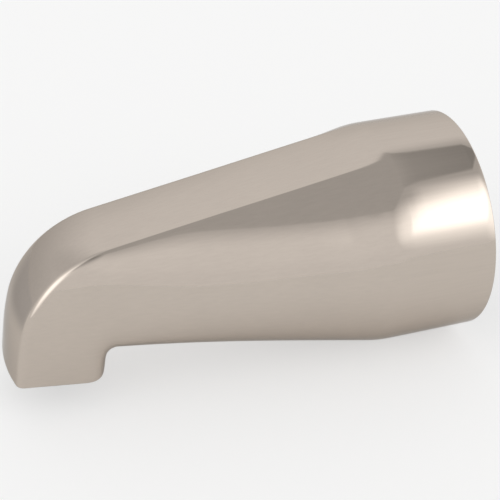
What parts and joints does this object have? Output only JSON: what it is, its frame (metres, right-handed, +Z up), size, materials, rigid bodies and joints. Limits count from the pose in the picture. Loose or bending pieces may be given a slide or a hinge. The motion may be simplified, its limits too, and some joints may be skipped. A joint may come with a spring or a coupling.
{
  "type": "bath spout",
  "caption": "Wall-mounted bath spout: round hollow base, tapering body with a flat creased top panel that turns down over the nose to an outlet facing down, in satin nickel.",
  "frame": {"origin": "centre of the round base, on the wall plane", "axes": "+X out from the wall along the supply pipe, +Z up, +Y to the left of someone who stands with their back to the wall"},
  "size_m": [0.1349, 0.064, 0.064],
  "materials": {
    "satin_nickel": "satin nickel plating on cast zinc"
  },
  "bodies": {
    "root": {"spout_body": "satin_nickel"}
  },
  "joints": []
}
